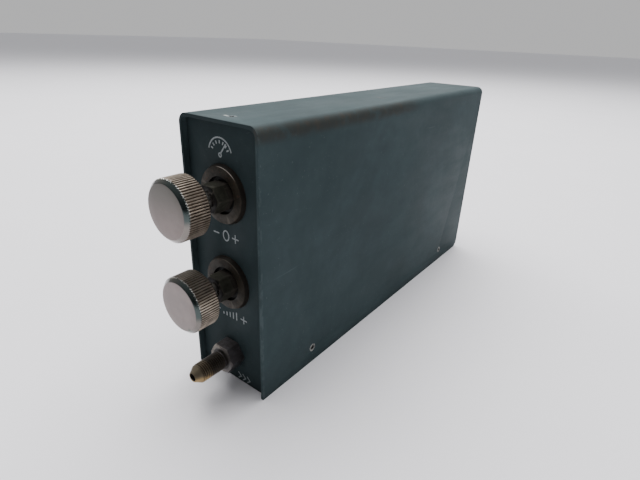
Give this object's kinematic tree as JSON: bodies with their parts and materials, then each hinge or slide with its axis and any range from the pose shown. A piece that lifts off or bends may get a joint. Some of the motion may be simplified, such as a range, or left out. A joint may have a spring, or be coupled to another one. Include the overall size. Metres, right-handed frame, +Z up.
{
  "type": "pneumatic gauging module",
  "caption": "Narrow sheet-steel air gauging module with two multi-turn knurled metering valves and a flared gauge port on a recessed front panel.",
  "frame": {"origin": "centre of the case's underside, on the surface that it stands on", "axes": "+Z up, front panel and knobs towards -Y, +X to the right seen from the front"},
  "size_m": [0.0474, 0.2903, 0.1325],
  "materials": {
    "painted_steel": "satin slate blue-grey paint with handling grime",
    "plated_steel": "dull zinc plate",
    "knob_metal": "satin turned face, straight knurl, worn",
    "aged_steel": "darkened and oily",
    "grimy_brass": "tarnished brass with dirt in the threads",
    "brass": "turned brass",
    "stainless": "ground",
    "ptfe": "waxy white",
    "block_aluminium": "milled",
    "sintered_bronze": "sintered",
    "black_plastic": "moulded",
    "board_green": "solder mask",
    "capacitor_blue": "sleeve",
    "nylon_tube": "natural nylon",
    "cable_sheath": "sheath"
  },
  "bodies": {
    "case": {"board_bracket": "block_aluminium", "board_capacitors": "capacitor_blue", "board_chips": "black_plastic", "board_headers": "black_plastic", "board_screws": "plated_steel", "board_standoffs": "plated_steel", "board_trimmers": "capacitor_blue", "chassis_tray": "plated_steel", "circuit_board": "board_green", "clinch_nuts": "plated_steel", "connector_boot": "black_plastic", "connector_insert": "black_plastic", "connector_nut": "plated_steel", "connector_pins": "brass", "connector_shell": "plated_steel", "cover": "painted_steel", "cover_screws": "aged_steel", "exhaust_muffler": "sintered_bronze", "exhaust_tube": "nylon_tube", "feed_tube": "nylon_tube", "floor_screws": "plated_steel", "front_panel": "painted_steel", "gauge_port_fitting": "grimy_brass", "gauge_tube": "nylon_tube", "head_bonnet_nut": "aged_steel", "head_dress_ring": "aged_steel", "head_stem_packing": "ptfe", "head_valve_body": "brass", "head_valve_seat": "brass", "manifold_block": "block_aluminium", "muffler_lock_nut": "brass", "output_cable": "cable_sheath", "panel_top_bracket": "plated_steel", "port_lock_nuts": "grimy_brass", "pressure_sensor": "stainless", "rear_panel": "painted_steel", "return_tube": "nylon_tube", "sensor_cable": "cable_sheath", "sensor_plug": "black_plastic", "supply_filter": "sintered_bronze", "supply_port_fitting": "grimy_brass", "supply_restrictor": "brass", "supply_tube": "nylon_tube", "valve_link_tube": "nylon_tube", "zero_bonnet_nut": "aged_steel", "zero_dress_ring": "aged_steel", "zero_stem_packing": "ptfe", "zero_valve_body": "brass", "zero_valve_seat": "brass"},
    "zero_needle_slide": {"zero_needle": "stainless"},
    "zero_knob_and_stem": {"zero_knob": "knob_metal", "zero_stem": "stainless", "zero_needle_pin": "stainless", "zero_knob_set_screw": "aged_steel"},
    "head_needle_slide": {"head_needle": "stainless"},
    "head_knob_and_stem": {"head_knob": "knob_metal", "head_stem": "stainless", "head_needle_pin": "stainless", "head_knob_set_screw": "aged_steel"}
  },
  "joints": [
    {"name": "zero_needle_travel", "type": "slide", "parent": "case", "child": "zero_needle_slide", "axis": [0, -1, 0], "range_m": [-0.00238, 0.00159]},
    {"name": "zero_knob_turn", "type": "hinge", "parent": "zero_needle_slide", "child": "zero_knob_and_stem", "pos_m": [0, -0.13561, 0.1002], "axis": [0, -1, 0], "range_deg": [-1080, 720]},
    {"name": "head_needle_travel", "type": "slide", "parent": "case", "child": "head_needle_slide", "axis": [0, -1, 0], "range_m": [-0.00119, 0.00278]},
    {"name": "head_knob_turn", "type": "hinge", "parent": "head_needle_slide", "child": "head_knob_and_stem", "pos_m": [0, -0.13442, 0.0567], "axis": [0, -1, 0], "range_deg": [-540, 1260]}
  ],
  "couplings": [
    {"joint": "zero_knob_turn", "follows": "zero_needle_travel", "rad_per_m": 7913.3},
    {"joint": "head_knob_turn", "follows": "head_needle_travel", "rad_per_m": 7913.3}
  ]
}
